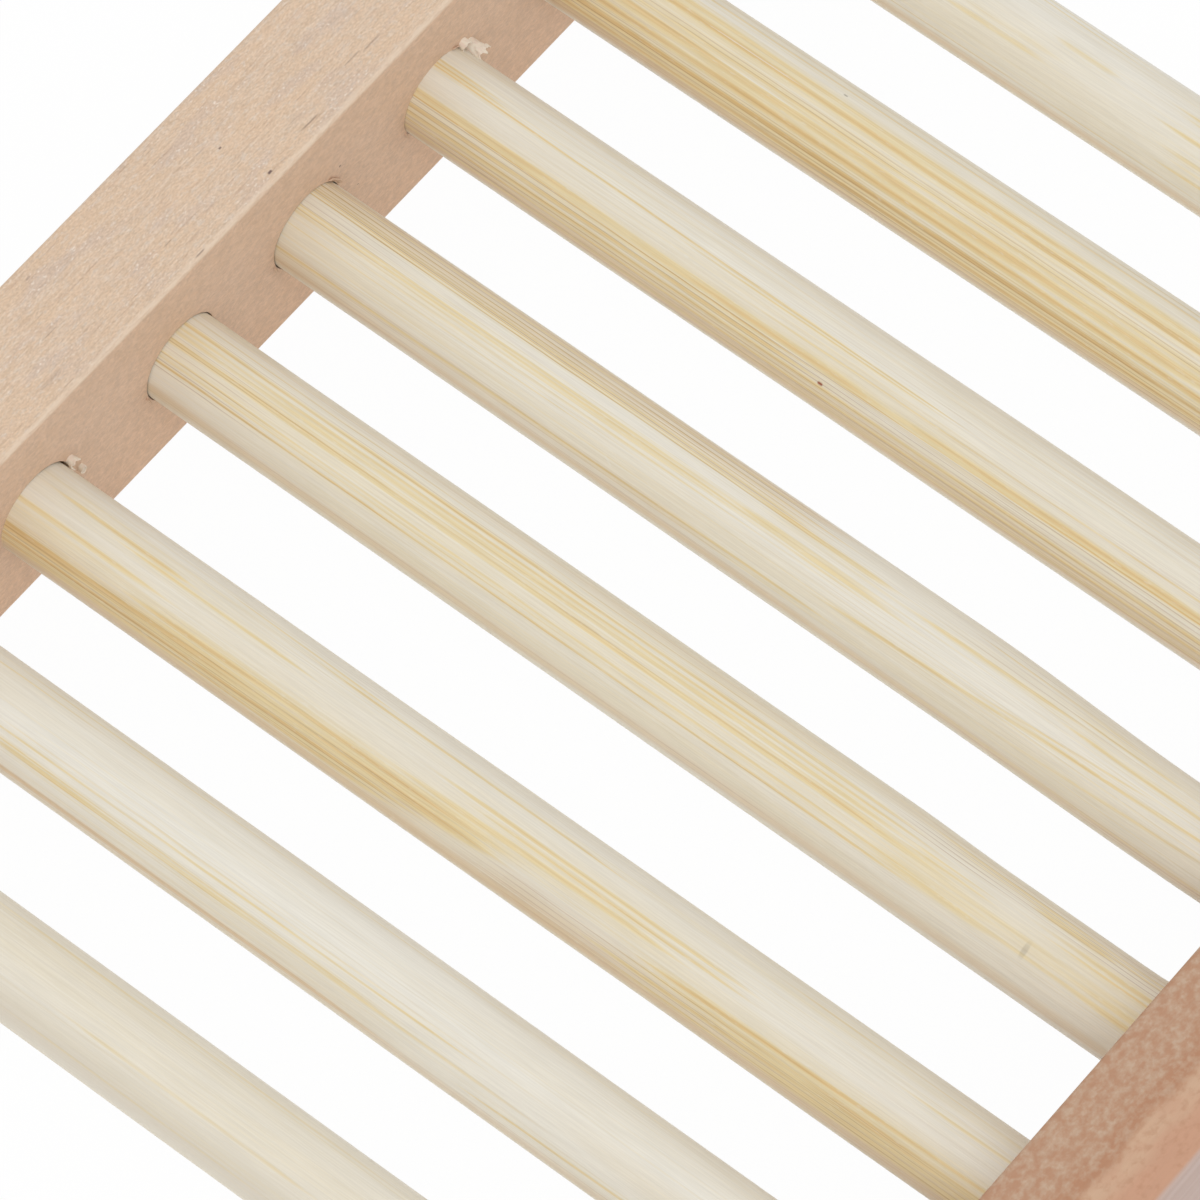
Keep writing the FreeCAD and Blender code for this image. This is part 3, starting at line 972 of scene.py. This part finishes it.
def make_shred(shred, inner_y, outward):
    """A thin torn strip round part of a socket's mouth, rooted in the rail and crumpled at its free edge."""
    low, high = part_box(f"rod_{shred.rod}")
    centre = Vector(((low[0] + high[0]) / 2, 0, (low[2] + high[2]) / 2))
    turn = math.radians(shred.turn)
    centre += Vector((math.cos(turn), 0, math.sin(turn))) * shred.off * MM
    reach, radius = shred.reach * MM, shred.radius * MM
    centre.y = inner_y + outward * (SHRED_ROOT - reach) / 2
    put_down()
    bpy.ops.mesh.primitive_cylinder_add(
        vertices=round(math.tau * radius / SHRED_STEP), radius=radius, depth=reach + SHRED_ROOT,
        end_fill_type="NOTHING", location=centre, rotation=(QUARTER_TURN, 0, 0))
    strip = name_piece("shred")

    def left_out(middle, normal):
        turn = math.degrees(math.atan2(middle.z - centre.z, middle.x - centre.x)) % 360
        return not shred.first < turn < shred.last

    def standing(point):
        share = outward * (inner_y - point.y) / reach
        return max(share, 0.0) ** SHRED_BEND

    bpy.ops.object.mode_set(mode="EDIT")
    pick_faces(strip, left_out)
    bpy.ops.mesh.delete(type="FACE")
    pick_edges(strip, lambda one, other: abs(one.y - other.y) > reach / 2)
    bpy.ops.mesh.subdivide(number_cuts=SHRED_ROWS)
    bpy.ops.object.mode_set(mode="OBJECT")
    free = weigh(strip, "free", standing)
    displace(strip, shred.flare * MM, group=free)
    ripple(strip, SHRED_PATCH, SHRED_CRUMPLE * reach, group=free, octaves=2)
    ripple(strip, SHRED_PATCH, reach, group=free, direction="Y", start=centre, octaves=2)
    take_up(strip)
    bpy.ops.object.modifier_add(type="SOLIDIFY")
    strip.modifiers[-1].thickness = SHRED_THICKNESS
    strip.modifiers[-1].offset = 1.0
    bpy.ops.object.modifier_apply(modifier=strip.modifiers[-1].name)
    strip.vertex_groups.clear()
    return strip


def add_shreds(rail, shreds, inner_y, outward):
    """Join the shreds to the rail that they were torn from."""
    strips = []
    for shred in shreds:
        strip = make_shred(shred, inner_y, outward)
        for material in rail.data.materials:
            strip.data.materials.append(material)
        for polygon in strip.data.polygons:
            polygon.material_index = shred.finish
        soften(strip)
        strips.append(strip)
    put_down()
    for strip in strips:
        strip.select_set(True)
    rail.select_set(True)
    bpy.context.view_layer.objects.active = rail
    bpy.ops.object.join()


def make_rails():
    woods = {
        "rear_rail": rear_wood(*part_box("rear_rail")),
        "front_rail": front_wood(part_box("front_rail")[0]),
    }
    for node, wood in woods.items():
        rail = shape_rail(node, f"{node}_wood")
        rail.data.materials.append(wood)
        if node == "rear_rail":
            rail.data.materials.append(torn_wood("torn_cream", PALE_FIBRE, TORN_CREAM))
            rail.data.materials.append(torn_wood("torn_tan", INNER_TAN, TORN_TAN))
            add_shreds(rail, REAR_SHREDS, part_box(node)[0][1], 1)
        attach(rail, "root")
        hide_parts(node)


# Studio: a white floor, soft light all round with a little more from the front, and the camera

FLOOR_SIZE = 6.0
FLOOR_WHITE = (0.92, 0.92, 0.92, 1.0)
SHADOW_SHARE = 0.03  # how much of the floor's own shading shows on its white
SKY_LEVEL = 0.82
LAMP_SIZE = 0.9
LAMP_PLACE = (-0.429, -0.348, 0.951)
LAMP_POWER = 2.8
PANEL_SIZE = (0.108, 0.0716)
PANEL_HEIGHT = 0.05 * MM
PANEL_POWER = 0.0048

CAMERA_TARGET = Vector((-3.24, 6.58, 7.9)) * MM
CAMERA_DISTANCE = 0.5553
CAMERA_AZIMUTH = math.radians(-50.961)
CAMERA_ELEVATION = math.radians(59.829)
CAMERA_ROLL = math.radians(-0.306)
CAMERA_LENS = 291.7
CAMERA_SENSOR = 36.0


def seen_directly(tree):
    """1 for rays that show the background itself: from the camera, in a gloss or through glass."""
    rays = tree.nodes.new("ShaderNodeLightPath").outputs
    total = rays["Is Camera Ray"]
    for name in ("Is Glossy Ray", "Is Transmission Ray"):
        node = tree.nodes.new("ShaderNodeMath")
        node.operation = "MAXIMUM"
        tree.links.new(total, node.inputs[0])
        tree.links.new(rays[name], node.inputs[1])
        total = node.outputs[0]
    return total


def lay_floor():
    """A plain white floor that keeps a faint shadow."""
    put_down()
    bpy.ops.mesh.primitive_plane_add(size=FLOOR_SIZE)
    floor = name_piece("studio_floor")
    material = bpy.data.materials.new("studio_white")
    material.use_nodes = True
    tree = material.node_tree
    tree.nodes.clear()
    matt = tree.nodes.new("ShaderNodeBsdfDiffuse")
    matt.inputs["Color"].default_value = FLOOR_WHITE
    bright = tree.nodes.new("ShaderNodeEmission")
    bright.inputs["Color"].default_value = WHITE
    shown = tree.nodes.new("ShaderNodeMixShader")
    shown.inputs[0].default_value = SHADOW_SHARE
    tree.links.new(bright.outputs[0], shown.inputs[1])
    tree.links.new(matt.outputs[0], shown.inputs[2])
    choice = tree.nodes.new("ShaderNodeMixShader")
    tree.links.new(seen_directly(tree), choice.inputs[0])
    tree.links.new(matt.outputs[0], choice.inputs[1])
    tree.links.new(shown.outputs[0], choice.inputs[2])
    output = tree.nodes.new("ShaderNodeOutputMaterial")
    tree.links.new(choice.outputs[0], output.inputs["Surface"])
    floor.data.materials.append(material)


def light_studio():
    """An even white sky, a broad lamp near the camera, and the glow of a white table under the rods."""
    world = bpy.data.worlds.new("studio_sky")
    bpy.context.scene.world = world
    world.use_nodes = True
    tree = world.node_tree
    sky = tree.nodes["Background"]
    sky.inputs["Color"].default_value = WHITE
    level = tree.nodes.new("ShaderNodeMapRange")
    tree.links.new(seen_directly(tree), level.inputs["Value"])
    level.inputs["To Min"].default_value = SKY_LEVEL
    level.inputs["To Max"].default_value = 1.0
    tree.links.new(level.outputs[0], sky.inputs["Strength"])
    put_down()
    bpy.ops.object.light_add(type="AREA", location=LAMP_PLACE)
    lamp = bpy.context.object
    lamp.name = "front_lamp"
    lamp.rotation_euler = Vector(LAMP_PLACE).to_track_quat("Z", "Y").to_euler()
    lamp.data.shape = "DISK"
    lamp.data.size = LAMP_SIZE
    lamp.data.energy = LAMP_POWER
    put_down()
    bpy.ops.object.light_add(type="AREA", location=(0, 0, PANEL_HEIGHT), rotation=(math.pi, 0, 0))
    panel = bpy.context.object
    panel.name = "table_glow"
    panel.data.shape = "RECTANGLE"
    panel.data.size, panel.data.size_y = PANEL_SIZE
    panel.data.energy = PANEL_POWER
    panel.visible_camera = False


def set_camera():
    """The camera looks down on the dish from over its front left corner."""
    turn = Matrix.Rotation(CAMERA_AZIMUTH, 3, "Z")
    tilt = Matrix.Rotation(QUARTER_TURN - CAMERA_ELEVATION, 3, "X")
    roll = Matrix.Rotation(CAMERA_ROLL, 3, "Z")
    stance = turn @ tilt @ roll
    put_down()
    bpy.ops.object.camera_add()
    camera = bpy.context.object
    camera.name = "camera"
    camera.rotation_euler = stance.to_euler()
    camera.location = CAMERA_TARGET + stance @ Vector((0, 0, CAMERA_DISTANCE))
    camera.data.sensor_width = CAMERA_SENSOR
    camera.data.lens = CAMERA_LENS
    bpy.context.scene.camera = camera
    bpy.context.scene.view_settings.view_transform = "Standard"


make_rails()
make_rods()
lay_floor()
light_studio()
set_camera()
